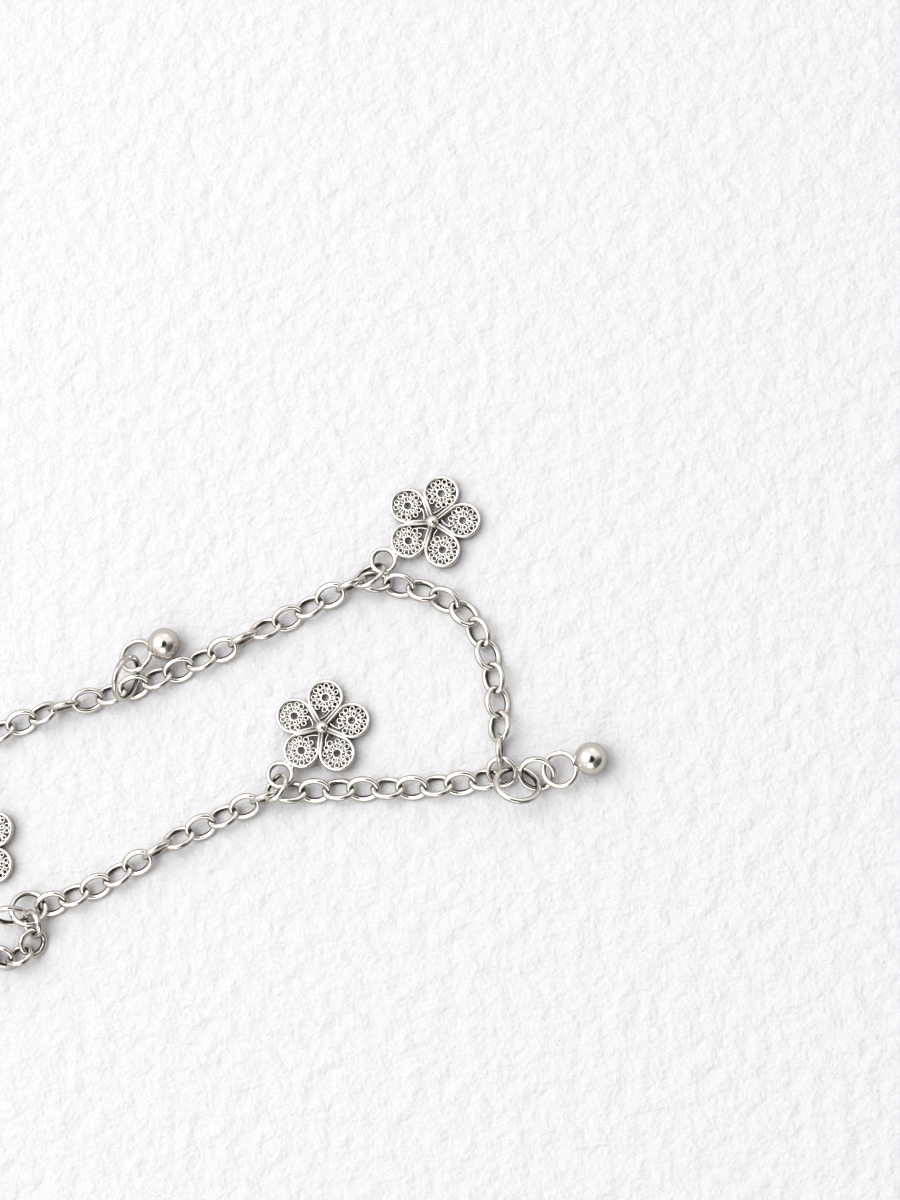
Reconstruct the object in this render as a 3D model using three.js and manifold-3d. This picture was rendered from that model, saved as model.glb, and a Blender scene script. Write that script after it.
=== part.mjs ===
// A silver charm bracelet, lying loosely on a table. Units are millimetres, +Z is up, and
// the origin is the middle of its footprint, on the table.
//
// A cable chain of oval links runs round the loop in two halves that meet at one jump ring.
// Three filigree flowers and two polished balls hang from it on small rings. A spring ring
// clasp ends one half, and a short extender chain, dropped in a heap, ends the other. The
// links of a chain bear on each other and are fused there. Every other ring threads its
// neighbours without touching them.

import * as THREE from "three";
import { mergeVertices } from "three/addons/utils/BufferGeometryUtils.js";
import Module from "manifold-3d";

const wasm = await Module();
wasm.setup();

// ---- driving dimensions ----

const WIRE = 0.56; // wire of the small jump rings and the rings soldered to the flowers
const LINK_WIRE = 0.6;
const LINK_LENGTH = 3.82; // outside length of a chain link
const LINK_WIDTH = 2.96; // outside width of a chain link
const LINK_LEAN = 30; // degrees a link leans to one side, and the next to the other
const BITE = 0.1; // how far two links sink into each other where they bear

const BALL_DIAMETER = 3.6;
const BALL_RING_OUTER = 4.2; // the ring soldered to a ball
const BALL_RING_REACH = 3.6; // ball centre to the centre of that ring
const HEAVY_WIRE = 0.6; // wire of the larger jump rings
const CHARM_WIRE = 0.68; // wire of the two rings that hold the balls on the chain

const PETALS = 5;
const PETAL_REACH = 3.4; // flower centre to the centre of a petal's round end
const PETAL_RADIUS = 2.02; // outside radius of that round end
const RIM_WALL = 0.34; // thickness of the flat wire round a petal
const RIM_HEIGHT = 1.05;
const FILIGREE_BOTTOM = 0.28;
const FILIGREE_TOP = 0.72;
const EYELET_RADIUS = 0.42; // the hole that a petal's spiral of wire winds round
const FILIGREE_GAPS = 4; // gaps between the turns of the spiral, round the eyelet
const FILIGREE_GAP_RADIUS = 0.3;
const FLOWER_RING_OUTER = 3.2; // the ring soldered to a petal
const FLOWER_RING_REACH = 6.95; // flower centre to the centre of that ring
const SOLDER_DIAMETER = 0.6; // two beads of solder hold that ring
const SOLDER_SPREAD = 0.55; // each side of the petal's axis
const PEARL_DIAMETER = 1.5; // the grain of silver at a flower's centre
const PEARL_HEIGHT = 0.9;

const EXTENDER_OUTER = 3.4;
const EXTENDER_WIRE = 0.64;

const CLASP_OUTER = 6;
const CLASP_TUBE = 1.15;
const CLASP_EYE_OUTER = 2.5;
const CLASP_EYE_WIRE = 0.6;
const CLASP_TAB = [0.8, 1.0, 0.7]; // the thumb tab, along the ring, outward and up
const CLASP_TAB_SINK = 0.2; // how deep the tab sits in the ring

// ---- facets ----

const WIRE_SIDES = 5;
const LINK_FACETS = 10;
const RING_FACETS = 12;
const PETAL_FACETS = 8;
const FILIGREE_FACETS = 10;
const EYELET_SIDES = 5;
const FILIGREE_GAP_SIDES = 4;
const PEARL_FACETS = 10;
const SOLDER_FACETS = 4;
const BALL_FACETS = 12;
const CLASP_FACETS = 16;
const CLASP_SIDES = 6;
const ROUTE_STEPS = 4000;

// ---- the chains' routes ----
// Each row is a point that the chain lies along, x then y. Links in onEdge stand on their
// narrow side, and the others lean to one side and the other in turn.

const UPPER_CHAIN = {
  links: 41,
  firstLean: -LINK_LEAN,
  onEdge: [0, 11, 16, 24, 40],
  route: [
    [32.0, -5.3], [31.9, -1.4], [31.4, 3.2], [30.4, 7.4], [28.2, 11.4], [24.2, 13.9],
    [20.4, 14.9], [16.5, 15.4], [12.7, 13.8], [9.0, 12.0], [3.1, 9.2], [-4.2, 6.1],
    [-11.8, 3.5], [-19.4, 1.6], [-25.0, -0.5], [-30.6, -2.9], [-36.2, -6.0], [-41.0, -10.4],
    [-42.6, -16.2], [-40.0, -21.4], [-34.6, -24.0], [-30.0, -24.6],
  ],
};
const LOWER_CHAIN = {
  links: 20,
  firstLean: LINK_LEAN,
  onEdge: [9, 14],
  route: [
    [31.6, -6.9], [24.3, -7.7], [18.0, -7.8], [12.0, -7.9], [7.1, -8.2], [3.0, -9.7],
    [-3.5, -12.6], [-9.1, -15.8], [-14.8, -18.7], [-23.0, -21.3],
  ],
};

const EXTENDER = {
  links: 6,
  firstLean: 45,
  onEdge: [5],
  route: [
    [-21.07, -21.25], [-20.07, -23.23], [-20.8, -25.2], [-22.9, -26.1], [-25.0, -25.6],
    [-26.9, -24.8], [-29.6, -24.5],
  ],
};

// ---- rings and charms, where they lie ----
// heading is the compass angle of a ring's long axis in plan, rise lifts the far end of that
// axis, and roll turns the ring about it, all in degrees.

const JUMP_RINGS = [
  { name: "corner_ring", at: [32.08, -6.23, 1.07], heading: -64, rise: -17.3, roll: 12.8,
    length: 3.6, width: 3.6, wire: WIRE },
  { name: "charm_ring_corner_large", at: [33.94, -7.78, 1.85], heading: -33.2, rise: 5.5, roll: -39.5,
    length: 5.4, width: 5.4, wire: CHARM_WIRE },
  { name: "charm_ring_corner_small", at: [36.0, -6.61, 1.41], heading: 22.9, rise: 13.1, roll: 34.2,
    length: 4.3, width: 4.3, wire: HEAVY_WIRE },
  { name: "charm_ring_upper", at: [-9.89, 4.88, 2.92], heading: 59.8, rise: -44.6, roll: 71.4,
    length: 5.5, width: 5.5, wire: CHARM_WIRE },
  { name: "flower_link_upper", at: [17.33, 15.92, 1.62], heading: 39.7, rise: -9.8, roll: -45.8,
    length: 4.3, width: 3.9, wire: WIRE },
  { name: "flower_link_lower", at: [7.08, -7.62, 1.87], heading: 62, rise: -7, roll: -39,
    length: 3.7, width: 3.1, wire: WIRE },
  { name: "flower_link_end", at: [-29.96, -4.66, 1.45], heading: -94, rise: 0, roll: 90,
    length: 3.95, width: 2.9, wire: WIRE },
  { name: "extender_ring", at: [-21.06, -20.53, 1.35], heading: -76.7, rise: 17, roll: -15.4,
    length: 4.4, width: 4.4, wire: HEAVY_WIRE },
  { name: "extender_side_ring", at: [-22.66, -21.38, 2.73], heading: 9.1, rise: 5.6, roll: 66.8,
    length: 4.1, width: 4.1, wire: HEAVY_WIRE },
];

const CLASP = { at: [-30.85, -24.22, 1.4], heading: -4, rise: 3.3 };

// ring is the compass angle from the flower's centre to its ring, and lift the ring's height.
const FLOWERS = [
  { name: "flower_charm_upper", at: [24.36, 21.87], ring: 217.5, lift: 1.17 },
  { name: "flower_charm_lower", at: [12.0, -1.0], ring: 228.8, lift: 1.67 },
  { name: "flower_charm_end", at: [-27.97, -13.54], ring: 108, lift: 1.3 },
];

// toward is the compass angle from a ball to its ring, and rise the ring's slope from there.
const BALLS = [
  { name: "ball_charm_corner", at: [41.98, -5.1, 1.8], toward: 197.6, rise: -3.7, roll: -1.1 },
  { name: "ball_charm_upper", at: [-5.97, 8.83, 1.83], toward: 199.4, rise: -8.1, roll: 19.5 },
];

// ---- shapes ----

/** A solid of a closed geometry, from its shared vertices. */
function solidOf(geometry) {
  const bare = geometry.clone();
  bare.deleteAttribute("normal");
  bare.deleteAttribute("uv");
  const merged = mergeVertices(bare, 1e-4);
  return new wasm.Manifold(new wasm.Mesh({
    numProp: 3,
    vertProperties: merged.getAttribute("position").array,
    triVerts: new Uint32Array(merged.index.array),
  }));
}

/** A flat-shaded geometry of a solid. */
function geometryOf(solid) {
  const mesh = solid.getMesh();
  const geometry = new THREE.BufferGeometry();
  geometry.setAttribute("position", new THREE.BufferAttribute(mesh.vertProperties, mesh.numProp));
  geometry.setIndex(new THREE.BufferAttribute(mesh.triVerts, 1));
  const faceted = geometry.toNonIndexed();
  faceted.computeVertexNormals();
  return faceted;
}

/** Every solid in a list, joined into one. */
function joined(solids) {
  return solids.reduce((whole, next) => whole.add(next));
}

/** An oval wire ring about the origin, its length along X and its width along Y. */
function wireRing(length, width, wire, facets, sides = WIRE_SIDES) {
  const a = (length - wire) / 2;
  const b = (width - wire) / 2;
  const ring = new THREE.TorusGeometry(1, wire / 2, sides, facets);
  const points = ring.getAttribute("position");
  for (let i = 0; i < points.count; i++) {
    const around = Math.atan2(points.getY(i), points.getX(i));
    const out = 1 - Math.hypot(points.getX(i), points.getY(i)); // a wire's corner faces inward
    const normal = new THREE.Vector2(Math.cos(around) / a, Math.sin(around) / b).normalize();
    points.setXYZ(
      i,
      a * Math.cos(around) + out * normal.x,
      b * Math.sin(around) + out * normal.y,
      -points.getZ(i),
    );
  }
  return ring;
}

/** The placement of a ring whose long axis points along a direction, rolled about it. */
function placed(centre, along, roll) {
  const t = along.clone().normalize();
  const left = new THREE.Vector3(-t.y, t.x, 0).normalize();
  const over = new THREE.Vector3().crossVectors(t, left);
  const angle = THREE.MathUtils.degToRad(roll);
  const side = left.multiplyScalar(Math.cos(angle)).addScaledVector(over, Math.sin(angle));
  const facing = new THREE.Vector3().crossVectors(t, side);
  return new THREE.Matrix4().makeBasis(t, side, facing).setPosition(centre);
}

/** The direction of a compass angle in plan, its far end raised by rise degrees. */
function direction(heading, rise = 0) {
  const h = THREE.MathUtils.degToRad(heading);
  const r = THREE.MathUtils.degToRad(rise);
  return new THREE.Vector3(Math.cos(h) * Math.cos(r), Math.sin(h) * Math.cos(r), Math.sin(r));
}

/** The solid of a ring, placed. */
function ringSolid(ring, facets) {
  const shape = wireRing(ring.length, ring.width, ring.wire, facets);
  return solidOf(shape.applyMatrix4(placed(ring.at, ring.along, ring.roll)));
}

// ---- chains ----

/** How far a link leans from lying flat, in degrees. */
function leanOf(chain, index) {
  if (chain.onEdge.includes(index)) return 90;
  const leaningBefore = index - chain.onEdge.filter((other) => other < index).length;
  return leaningBefore % 2 === 0 ? chain.firstLean : -chain.firstLean;
}

/**
 * A chain's links along its route. Each joint is one pitch from the last, at the height of
 * the taller of the two links that meet there, so that the chain rests on the table.
 */
function chainLinks(chain, length, width, wire) {
  const pitch = length - 2 * wire + BITE;
  const points = chain.route.map(([x, y, z = 0]) => new THREE.Vector3(x, y, z));
  const route = new THREE.CatmullRomCurve3(points, false, "catmullrom").getPoints(ROUTE_STEPS);
  const height = (index) => {
    if (index < 0 || index >= chain.links) return 0;
    const lean = THREE.MathUtils.degToRad(leanOf(chain, index));
    return ((width - wire) / 2) * Math.abs(Math.sin(lean)) + wire / 2;
  };
  const joint = (point, index) =>
    new THREE.Vector3(point.x, point.y, point.z + Math.max(height(index - 1), height(index)));

  const links = [];
  let from = joint(route[0], 0);
  let step = 0;
  for (let index = 0; index < chain.links; index++) {
    while (joint(route[step], index + 1).distanceTo(from) < pitch) step++;
    const to = joint(route[step], index + 1);
    links.push({
      at: from.clone().add(to).multiplyScalar(0.5),
      along: to.clone().sub(from),
      roll: leanOf(chain, index),
      length,
      width,
      wire,
    });
    from = to;
  }
  return links;
}

/** A whole chain as one solid. */
function chainSolid(chain, length, width, wire) {
  const links = chainLinks(chain, length, width, wire);
  return joined(links.map((link) => ringSolid(link, LINK_FACETS)));
}

// ---- charms ----

/** A petal's outline inset by a distance: a round end, and straight sides to a point. */
function petalOutline(inset) {
  const radius = PETAL_RADIUS - inset;
  const opening = Math.acos(PETAL_RADIUS / PETAL_REACH);
  const outline = new THREE.Shape();
  outline.moveTo(PETAL_REACH - radius / Math.cos(opening), 0);
  for (let i = 0; i <= PETAL_FACETS; i++) {
    const angle = -(Math.PI - opening) + (2 * (Math.PI - opening) * i) / PETAL_FACETS;
    outline.lineTo(PETAL_REACH + radius * Math.cos(angle), radius * Math.sin(angle));
  }
  outline.closePath();
  return outline;
}

/** An outline extruded upward between two heights, then turned about Z. */
function slab(outline, bottom, top, turn) {
  const body = new THREE.ExtrudeGeometry(outline, {
    depth: top - bottom,
    bevelEnabled: false,
    curveSegments: 1,
  });
  return solidOf(body.translate(0, 0, bottom).rotateZ(turn));
}

/** A round path of straight sides, for an outline or a hole. */
function roundPath(x, y, radius, sides) {
  const path = new THREE.Shape();
  for (let i = 0; i < sides; i++) {
    const angle = (2 * Math.PI * i) / sides;
    const corner = [x + radius * Math.cos(angle), y + radius * Math.sin(angle)];
    if (i === 0) path.moveTo(...corner);
    else path.lineTo(...corner);
  }
  path.closePath();
  return path;
}

/** One petal: a flat wire rim round a pierced disc of filigree, turned about the centre. */
function petalSolid(turn) {
  const rim = petalOutline(0);
  rim.holes.push(petalOutline(RIM_WALL));

  const disc = roundPath(PETAL_REACH, 0, PETAL_RADIUS - RIM_WALL / 2, FILIGREE_FACETS);
  disc.holes.push(roundPath(PETAL_REACH, 0, EYELET_RADIUS, EYELET_SIDES));
  const between = (EYELET_RADIUS + PETAL_RADIUS - RIM_WALL) / 2;
  for (let i = 0; i < FILIGREE_GAPS; i++) {
    const angle = (2 * Math.PI * (i + 0.5)) / FILIGREE_GAPS;
    const x = PETAL_REACH + between * Math.cos(angle);
    const y = between * Math.sin(angle);
    disc.holes.push(roundPath(x, y, FILIGREE_GAP_RADIUS, FILIGREE_GAP_SIDES));
  }
  return slab(rim, 0, RIM_HEIGHT, turn).add(slab(disc, FILIGREE_BOTTOM, FILIGREE_TOP, turn));
}

/** A small solid ball about a point. */
function bead(x, y, z, diameter, facets) {
  const ball = new THREE.SphereGeometry(diameter / 2, facets, facets / 2);
  return solidOf(ball.rotateX(Math.PI / 2).translate(x, y, z));
}

/** A flower: its back on the table, its centre over the origin and its ring towards +X. */
function flowerSolid() {
  const middle = RIM_HEIGHT / 2;
  const petals = [];
  for (let i = 0; i < PETALS; i++) petals.push(petalSolid((2 * Math.PI * i) / PETALS));
  const ring = wireRing(FLOWER_RING_OUTER, FLOWER_RING_OUTER, WIRE, RING_FACETS);
  const solder = [-1, 1].map((side) =>
    bead(PETAL_REACH + PETAL_RADIUS, side * SOLDER_SPREAD, middle, SOLDER_DIAMETER, SOLDER_FACETS));
  return joined([
    ...petals,
    bead(0, 0, PEARL_HEIGHT, PEARL_DIAMETER, PEARL_FACETS),
    solidOf(ring.translate(FLOWER_RING_REACH, 0, middle)),
    ...solder,
  ]);
}

/** A ball about the origin with its soldered ring towards +X. */
function ballSolid() {
  const ring = wireRing(BALL_RING_OUTER, BALL_RING_OUTER, WIRE, RING_FACETS);
  ring.translate(BALL_RING_REACH, 0, 0);
  return bead(0, 0, 0, BALL_DIAMETER, BALL_FACETS).add(solidOf(ring));
}

/** A closed spring ring about the origin: its eye towards -X, its thumb tab on one side. */
function claspSolid() {
  const body = wireRing(CLASP_OUTER, CLASP_OUTER, CLASP_TUBE, CLASP_FACETS, CLASP_SIDES);
  const eye = wireRing(CLASP_EYE_OUTER, CLASP_EYE_OUTER, CLASP_EYE_WIRE, RING_FACETS, CLASP_SIDES);
  const reach = (CLASP_OUTER + CLASP_EYE_OUTER) / 2 - CLASP_EYE_WIRE / 2;
  const tab = new THREE.BoxGeometry(...CLASP_TAB);
  return joined([
    solidOf(body),
    solidOf(eye.translate(-reach, 0, 0)),
    solidOf(tab.translate(0, (CLASP_OUTER + CLASP_TAB[1]) / 2 - CLASP_TAB_SINK, 0)),
  ]);
}

// ---- the bracelet ----

const silver = () =>
  new THREE.MeshStandardMaterial({ color: 0xcfcac4, roughness: 0.18, metalness: 1 });

/** A named piece of the bracelet. */
function piece(name, solid) {
  const mesh = new THREE.Mesh(geometryOf(solid), silver());
  mesh.name = name;
  return mesh;
}

/** A jump ring of the table. */
function jumpRing(ring) {
  const shape = solidOf(wireRing(ring.length, ring.width, ring.wire, RING_FACETS));
  const mesh = piece(ring.name, shape);
  const centre = new THREE.Vector3(...ring.at);
  mesh.applyMatrix4(placed(centre, direction(ring.heading, ring.rise), ring.roll));
  return mesh;
}

/** A flower that lies on its far petals, its ring held up by the chain. */
function flower(row) {
  const mesh = piece(row.name, flowerSolid());
  const far = PETAL_REACH * Math.cos(Math.PI / PETALS) + PETAL_RADIUS;
  const rise = Math.asin((row.lift - RIM_HEIGHT / 2) / (FLOWER_RING_REACH + far));
  const centre = new THREE.Vector3(row.at[0], row.at[1], far * Math.sin(rise));
  mesh.applyMatrix4(placed(centre, direction(row.ring, THREE.MathUtils.radToDeg(rise)), 0));
  return mesh;
}

/** A ball on the table or against the chain. */
function ballCharm(row) {
  const mesh = piece(row.name, ballSolid());
  const centre = new THREE.Vector3(...row.at);
  mesh.applyMatrix4(placed(centre, direction(row.toward, row.rise), row.roll));
  return mesh;
}

/** The clasp, resting in the last link of the chain and the last ring of the extender. */
function clasp() {
  const mesh = piece("clasp", claspSolid());
  const centre = new THREE.Vector3(...CLASP.at);
  mesh.applyMatrix4(placed(centre, direction(CLASP.heading, CLASP.rise), 0));
  return mesh;
}

const bracelet = new THREE.Group();
bracelet.add(
  piece("chain_upper", chainSolid(UPPER_CHAIN, LINK_LENGTH, LINK_WIDTH, LINK_WIRE)),
  piece("chain_lower", chainSolid(LOWER_CHAIN, LINK_LENGTH, LINK_WIDTH, LINK_WIRE)),
  piece("extender_chain", chainSolid(EXTENDER, EXTENDER_OUTER, EXTENDER_OUTER, EXTENDER_WIRE)),
  clasp(),
  ...JUMP_RINGS.map(jumpRing),
  ...FLOWERS.map(flower),
  ...BALLS.map(ballCharm),
);

export default bracelet;
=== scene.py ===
# %% [markdown]
# # A silver charm bracelet
#
# The bracelet lies loosely on a sheet of pale paper. A cable chain of oval links runs
# round it, with three filigree flowers and two polished balls hung on small rings. A
# spring ring clasp and a short extender chain close it.
#
# The solids in the frame are faceted stand-ins for collision and weight. Here each one
# is replaced by the same piece with round wire, soldered joints and real filigree, in
# the same place, and each gets a finish of polished silver.
#
# Sizes are in millimetres. They become metres, Blender's unit, where they meet a mesh.

# %% Load the frame
import math
import random

import bpy
from mathutils import Matrix, Vector


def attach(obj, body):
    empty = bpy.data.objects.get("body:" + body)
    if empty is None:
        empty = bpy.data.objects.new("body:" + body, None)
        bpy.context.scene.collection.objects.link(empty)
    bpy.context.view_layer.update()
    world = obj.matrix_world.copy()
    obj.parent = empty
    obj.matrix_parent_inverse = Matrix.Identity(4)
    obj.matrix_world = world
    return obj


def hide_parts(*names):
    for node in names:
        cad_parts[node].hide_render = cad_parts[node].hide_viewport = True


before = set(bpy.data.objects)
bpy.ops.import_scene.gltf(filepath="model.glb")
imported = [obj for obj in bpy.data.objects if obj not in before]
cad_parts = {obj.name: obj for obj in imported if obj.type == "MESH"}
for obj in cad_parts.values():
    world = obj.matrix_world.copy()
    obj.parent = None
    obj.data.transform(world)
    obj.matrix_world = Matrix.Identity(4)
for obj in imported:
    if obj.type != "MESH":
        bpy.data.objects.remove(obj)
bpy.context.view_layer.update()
MM = 0.001
print("nodes", len(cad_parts))

# %% [markdown]
# ## Bench tools
#
# An operator acts on whatever is selected, so the first tool clears the selection. The
# next ones put an object's place into its mesh, copy a finished shape to another place,
# and join many shapes into one piece. A copy gets its own mesh, and its place goes into
# that mesh, so that every object stays at the origin.

# %% Select, copy and join


def deselect():
    """Leaves edit mode and clears the selection."""
    if bpy.context.object and bpy.context.object.mode != "OBJECT":
        bpy.ops.object.mode_set(mode="OBJECT")
    bpy.ops.object.select_all(action="DESELECT")


def choose(piece):
    """Makes one object the only selected one, and the active one."""
    deselect()
    piece.select_set(True)
    bpy.context.view_layer.objects.active = piece


def settle(piece):
    """Puts an object's place, turn and scale into its mesh."""
    choose(piece)
    bpy.ops.object.transform_apply(location=True, rotation=True, scale=True)


def copy_of(piece, place):
    """A copy of a piece, with its own mesh, moved by a matrix."""
    twin = piece.copy()
    twin.data = piece.data.copy()
    bpy.context.scene.collection.objects.link(twin)
    twin.data.transform(place)
    return twin


def join(pieces, name):
    """Many meshes made into one named piece."""
    deselect()
    for piece in pieces:
        piece.select_set(True)
    bpy.context.view_layer.objects.active = pieces[0]
    if len(pieces) > 1:
        bpy.ops.object.join()
    whole = bpy.context.object
    whole.name = name
    return whole


def discard(piece):
    """Removes a pattern that has served its purpose."""
    bpy.data.objects.remove(piece, do_unlink=True)


# %% [markdown]
# ## Where a ring lies
#
# Every ring and link is modelled flat about the origin, with its long side on X. It is
# laid in its place by three angles: the heading of its long axis in plan, the rise of
# that axis, and the roll about it. An object could be turned by hand until it looks
# right, but one matrix holds all three, and the same rule then places the links of the
# chain, the jump rings, the flowers and the balls.

# %% Headings and placements


def direction(heading, rise=0.0):
    """A unit vector at a heading in degrees from X, its far end raised by some more."""
    h = math.radians(heading)
    r = math.radians(rise)
    return Vector((math.cos(h) * math.cos(r), math.sin(h) * math.cos(r), math.sin(r)))


def placement(centre, along, roll):
    """The matrix that lays a flat ring at a centre, turned along a way and rolled."""
    t = along.normalized()
    left = Vector((-t.y, t.x, 0)).normalized()
    over = t.cross(left)
    angle = math.radians(roll)
    side = left * math.cos(angle) + over * math.sin(angle)
    facing = t.cross(side)
    turn = Matrix((t, side, facing)).transposed().to_4x4()
    return Matrix.Translation(Vector(centre) * MM) @ turn


print("a heading of 90 points along", direction(90))

# %% [markdown]
# ## Round wire
#
# Nearly everything here is drawn wire, bent round a mandrel and soldered shut. A Bezier
# circle is the bent wire's centre line. It is stretched to an oval in edit mode, and
# the curve's bevel gives it the wire's thickness. Stretching a finished torus instead
# would squash the wire at its narrow ends.
#
# Real wire has a slightly thicker place where the solder closed it, so one point of the
# curve has a little more radius than the others.
#
# Tarnish stays where a polishing cloth can't reach, and painted shade is added to it
# where the light reaches less. Each piece carries both as one number on every point,
# and the finish reads it later. On a ring it rises to 1 on the inner side, as tarnish
# and painted shade, and to about a third on the outermost line, as a painted dark
# outline, with clean metal between. On a link of the chain it also rises towards the
# two ends, as painted shade where the links meet.

# %% Store the tarnish and painted shade on a mesh


def tarnish(piece, amount):
    """Stores how much tarnish and painted shade each point of a mesh has, from a
    function of its place.
    """
    layer = piece.data.attributes.new("tarnish", "FLOAT", "POINT")
    for vertex in piece.data.vertices:
        layer.data[vertex.index].value = max(0.0, min(1.0, amount(vertex.co / MM)))


# %% Bend a ring of round wire
SOLDER_SWELL = 1.07
# Tarnish and painted shade on a ring's inner side, and a painted dark outline on its
# outer side.
INNER_FILM = 1.8
OUTER_FILM = 0.3
END_STARTS = 0.6


def wire_ring(name, length, width, wire, steps=9, sides=4, worn=0.0):
    """An oval ring of round wire about the origin, its long side on X."""
    half_length = (length - wire) / 2
    half_width = (width - wire) / 2
    deselect()
    bpy.ops.curve.primitive_bezier_circle_add(radius=1)
    ring = bpy.context.object
    bpy.ops.object.mode_set(mode="EDIT")
    bpy.ops.curve.select_all(action="SELECT")
    bpy.ops.transform.resize(value=(half_length * MM, half_width * MM, 1))
    bpy.ops.object.mode_set(mode="OBJECT")
    for point in ring.data.splines[0].bezier_points:
        point.radius = SOLDER_SWELL if point.co.y > abs(point.co.x) else 1.0
    ring.data.resolution_u = steps
    ring.data.bevel_depth = wire / 2 * MM
    ring.data.bevel_resolution = sides
    bpy.ops.object.convert(target="MESH")
    ring.name = name
    bpy.ops.object.shade_smooth()

    # Tarnish and painted shade inside, a painted dark outline outside, and painted
    # shade at the ends where links meet.
    def rubbed(at):
        out = math.hypot(at.x / half_length, at.y / half_width)
        inside = (1 - out) * min(half_length, half_width) / (wire / 2)
        if inside < 0:
            return OUTER_FILM * inside**4
        end = max(0.0, abs(at.x) / half_length - END_STARTS)
        return INNER_FILM * inside**4 + worn * end * inside

    tarnish(ring, rubbed)
    return ring


# %% [markdown]
# ## The chain
#
# A cable chain is one oval link repeated. When the chain lies on a table its links
# can't all lie flat: each leans on the next, one to the left and the next to the right,
# and a few stand on edge. An array along a curve would repeat the link, but it would
# lean every copy the same way. So the link is modelled once, and its copies are laid
# one by one along a smooth route, one pitch apart. Each joint takes the height of the
# taller of the two links that meet there.
#
# The links of the long chain are oval, and those of the extender are round and a little
# heavier. The round wire is a hair thicker than the flat-sided wire of the solids,
# about the same middle line, so that it looks as full from every side.

# %% The links and routes of the three chains
LINK_LEAN = 30

# A link's length, width and wire.
LINK = (3.82, 2.96, 0.6)
EXTENDER_LINK = (3.4, 3.4, 0.64)

UPPER_CHAIN = {
    "link": LINK,
    "links": 41,
    "first_lean": -LINK_LEAN,
    "on_edge": (0, 11, 16, 24, 40),
    "route": (
        (32.0, -5.3), (31.9, -1.4), (31.4, 3.2), (30.4, 7.4), (28.2, 11.4),
        (24.2, 13.9), (20.4, 14.9), (16.5, 15.4), (12.7, 13.8), (9.0, 12.0),
        (3.1, 9.2), (-4.2, 6.1), (-11.8, 3.5), (-19.4, 1.6), (-25.0, -0.5),
        (-30.6, -2.9), (-36.2, -6.0), (-41.0, -10.4), (-42.6, -16.2), (-40.0, -21.4),
        (-34.6, -24.0), (-30.0, -24.6),
    ),
}
LOWER_CHAIN = {
    "link": LINK,
    "links": 20,
    "first_lean": LINK_LEAN,
    "on_edge": (9, 14),
    "route": (
        (31.6, -6.9), (24.3, -7.7), (18.0, -7.8), (12.0, -7.9), (7.1, -8.2),
        (3.0, -9.7), (-3.5, -12.6), (-9.1, -15.8), (-14.8, -18.7), (-23.0, -21.3),
    ),
}
EXTENDER = {
    "link": EXTENDER_LINK,
    "links": 6,
    "first_lean": 45,
    "on_edge": (5,),
    "route": (
        (-21.07, -21.25), (-20.07, -23.23), (-20.8, -25.2), (-22.9, -26.1),
        (-25.0, -25.6), (-26.9, -24.8), (-29.6, -24.5),
    ),
}
print("links", [chain["links"] for chain in (UPPER_CHAIN, LOWER_CHAIN, EXTENDER)])

# %% Follow a route
ROUTE_STEPS = 4000


def smooth_route(points):
    """A Catmull-Rom curve through flat points, as many short steps."""
    points = [Vector((x, y, 0)) for x, y in points]
    ends = [2 * points[0] - points[1], *points, 2 * points[-1] - points[-2]]
    spans = len(points) - 1
    route = []
    for step in range(ROUTE_STEPS + 1):
        at = spans * step / ROUTE_STEPS
        span = min(int(at), spans - 1)
        u = at - span
        before, start, end, after = ends[span : span + 4]
        leave = (end - before) / 2
        arrive = (after - start) / 2
        square = -3 * start + 3 * end - 2 * leave - arrive
        cube = 2 * start - 2 * end + leave + arrive
        route.append(start + leave * u + square * u**2 + cube * u**3)
    return route


upper_route = smooth_route(UPPER_CHAIN["route"])
steps_along = [(b - a).length for a, b in zip(upper_route, upper_route[1:])]
print("the upper route is", round(sum(steps_along), 1), "mm long")

# %% Place the links along it
BITE = 0.1
ON_EDGE = 90


def lean_of(chain, index):
    """How far a link leans from lying flat, in degrees."""
    if index in chain["on_edge"]:
        return ON_EDGE
    leaning = index - sum(1 for other in chain["on_edge"] if other < index)
    return chain["first_lean"] * (1 if leaning % 2 == 0 else -1)


def link_places(chain):
    """The matrix of every link of a chain, from its first joint to its last."""
    length, width, wire = chain["link"]
    pitch = length - 2 * wire + BITE
    route = smooth_route(chain["route"])

    def height(index):
        if index < 0 or index >= chain["links"]:
            return 0
        lean = math.radians(lean_of(chain, index))
        return (width - wire) / 2 * abs(math.sin(lean)) + wire / 2

    def joint(point, index):
        return Vector((point.x, point.y, max(height(index - 1), height(index))))

    places = []
    start = joint(route[0], 0)
    step = 0
    for index in range(chain["links"]):
        while (joint(route[step], index + 1) - start).length < pitch:
            step += 1
        end = joint(route[step], index + 1)
        places.append(placement((start + end) / 2, end - start, lean_of(chain, index)))
        start = end
    return places


# %% Lay the two halves of the chain and the extender
LINK_FULLER = 0.04
# Painted shade at the two ends of a link, where it meets its neighbours.
LINK_WORN = 7.0


def lay_chain(name, chain):
    """A whole chain of copies of one link."""
    fuller = [size + LINK_FULLER for size in chain["link"]]
    link = wire_ring("link", *fuller, worn=LINK_WORN)
    places = link_places(chain)
    whole = join([copy_of(link, place) for place in places], name)
    discard(link)
    print(name, "links", len(places), "end", places[-1].translation / MM)
    return whole


chain_upper = lay_chain("upper_chain", UPPER_CHAIN)
chain_lower = lay_chain("lower_chain", LOWER_CHAIN)
extender_chain = lay_chain("extender", EXTENDER)

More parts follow.
